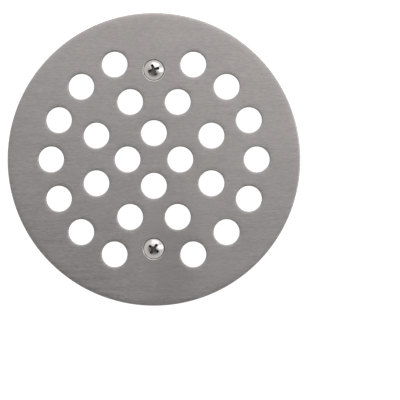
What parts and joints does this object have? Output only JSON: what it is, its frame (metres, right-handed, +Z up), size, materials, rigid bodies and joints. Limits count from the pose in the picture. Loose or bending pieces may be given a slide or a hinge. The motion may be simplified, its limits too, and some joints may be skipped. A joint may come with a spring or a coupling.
{
  "type": "floor drain grate",
  "caption": "Round flat screw-down strainer plate for a shower or floor drain, pierced with round drain holes and held by countersunk oval-head screws.",
  "frame": {"origin": "centre of the plate's flat underside, the face that rests on the drain body", "axes": "+Z up out of the drain through the brushed visible face; +Y through both screw holes towards the rear one; +X along the brushing"},
  "size_m": [0.108, 0.108, 0.0203],
  "materials": {
    "brushed_nickel": "satin, fine straight brushing along X",
    "bright_nickel": "bright satin plating"
  },
  "bodies": {
    "plate": {"strainer_plate": "brushed_nickel"},
    "rear_screw": {"fixing_screw_rear": "bright_nickel"},
    "front_screw": {"fixing_screw_front": "bright_nickel"}
  },
  "joints": [
    {"name": "rear_screw_lift", "type": "slide", "parent": "plate", "child": "rear_screw", "axis": [0, 0, 1], "range_m": [0, 0.0225]},
    {"name": "front_screw_lift", "type": "slide", "parent": "plate", "child": "front_screw", "axis": [0, 0, 1], "range_m": [0, 0.0225]}
  ]
}
